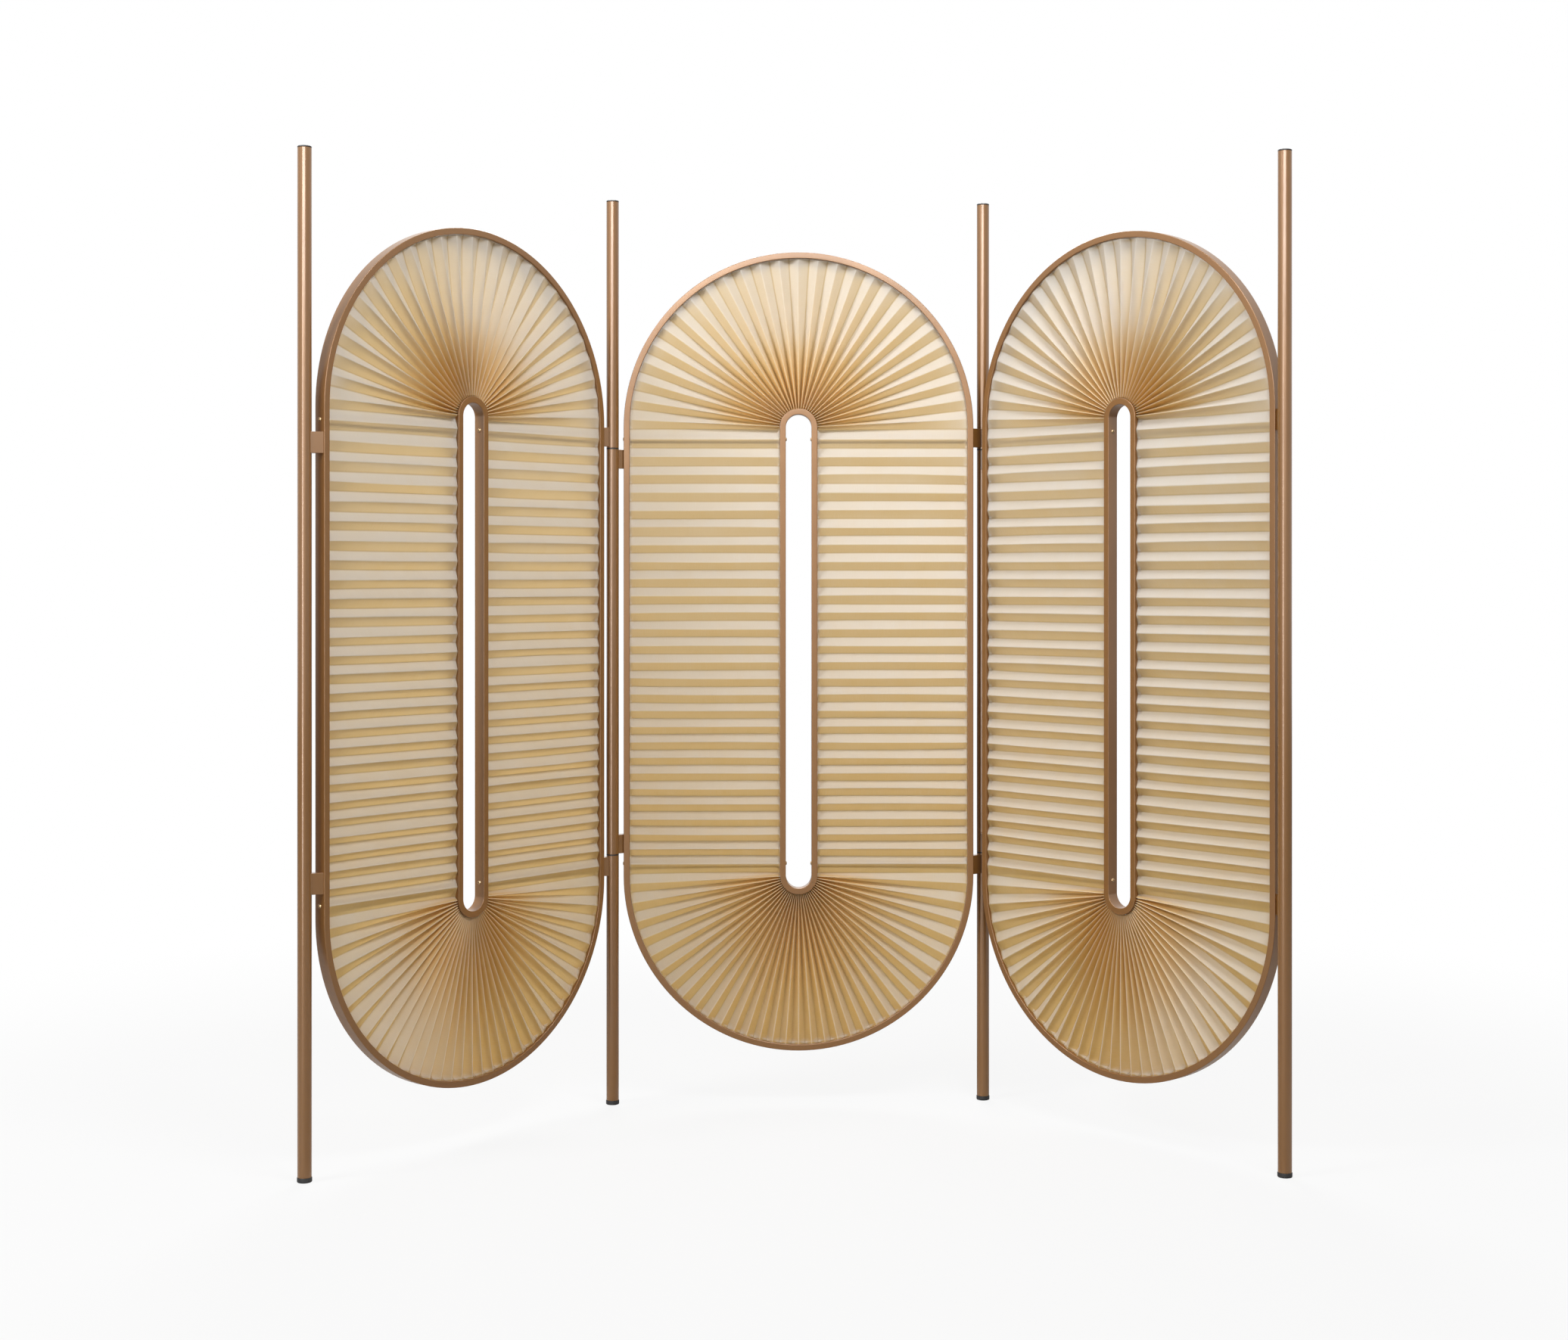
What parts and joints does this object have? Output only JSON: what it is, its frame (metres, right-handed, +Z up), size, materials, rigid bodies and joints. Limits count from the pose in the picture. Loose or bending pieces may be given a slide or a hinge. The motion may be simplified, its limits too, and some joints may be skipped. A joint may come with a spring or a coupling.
{
  "type": "folding screen",
  "caption": "Folding room divider: rounded oblong metal frames with radially pleated cloth round a tall narrow slot, hinged on slim round posts.",
  "frame": {"origin": "on the floor, midway across and midway deep under the screen as it stands part folded", "axes": "+Z up; +X along the centre panel's width; -Y towards the side where both end panels come forward"},
  "size_m": [1.7608, 0.6156, 1.825],
  "materials": {
    "gilt_bar": "satin bronze-gold anodised flat bar",
    "gilt_tube": "satin bronze-gold anodised tube, brighter streaks",
    "pleated_cloth": "cream to golden pleated cloth, finely woven, matt with a faint sheen",
    "rod_steel": "plain drawn steel tube",
    "screw_brass": "small domed socket screw, satin",
    "pin_steel": "ground steel pin",
    "bush_plastic": "plain bearing bush",
    "socket_steel": "turned steel plug",
    "black_washer": "matt black",
    "black_cap": "matt black moulded cap",
    "black_foot": "matt black moulded foot"
  },
  "bodies": {
    "centre_panel": {"centre_outer_frame": "gilt_bar", "centre_slot_frame": "gilt_bar", "centre_spreader_rods": "rod_steel", "centre_rod_screws": "screw_brass", "centre_pleated_fabric": "pleated_cloth", "centre_post_caps": "black_cap", "centre_post_feet": "black_foot", "left_hinge_inner_brackets": "gilt_tube", "left_hinge_middle_tube": "gilt_tube", "left_hinge_pin_sockets": "socket_steel", "left_hinge_pins": "pin_steel", "left_hinge_washers": "black_washer", "right_hinge_outer_brackets": "gilt_tube", "right_hinge_upper_tube": "gilt_tube", "right_hinge_lower_tube": "gilt_tube", "right_hinge_bushes": "bush_plastic"},
    "left_panel": {"left_outer_frame": "gilt_bar", "left_slot_frame": "gilt_bar", "left_spreader_rods": "rod_steel", "left_rod_screws": "screw_brass", "left_pleated_fabric": "pleated_cloth", "left_end_post_tube": "gilt_tube", "left_post_caps": "black_cap", "left_post_feet": "black_foot", "left_end_brackets": "gilt_tube", "left_hinge_outer_brackets": "gilt_tube", "left_hinge_upper_tube": "gilt_tube", "left_hinge_lower_tube": "gilt_tube", "left_hinge_bushes": "bush_plastic"},
    "right_panel": {"right_outer_frame": "gilt_bar", "right_slot_frame": "gilt_bar", "right_spreader_rods": "rod_steel", "right_rod_screws": "screw_brass", "right_pleated_fabric": "pleated_cloth", "right_end_post_tube": "gilt_tube", "right_post_caps": "black_cap", "right_post_feet": "black_foot", "right_end_brackets": "gilt_tube", "right_hinge_inner_brackets": "gilt_tube", "right_hinge_middle_tube": "gilt_tube", "right_hinge_pin_sockets": "socket_steel", "right_hinge_pins": "pin_steel", "right_hinge_washers": "black_washer"}
  },
  "joints": [
    {"name": "left_fold", "type": "hinge", "parent": "centre_panel", "child": "left_panel", "pos_m": [-0.36447, 0.26553, 0], "axis": [0, 0, 1], "range_deg": [-120.3, 125.7]},
    {"name": "right_fold", "type": "hinge", "parent": "centre_panel", "child": "right_panel", "pos_m": [0.38753, 0.29453, 0], "axis": [0, 0, 1], "range_deg": [-21.8, 224.2]}
  ]
}
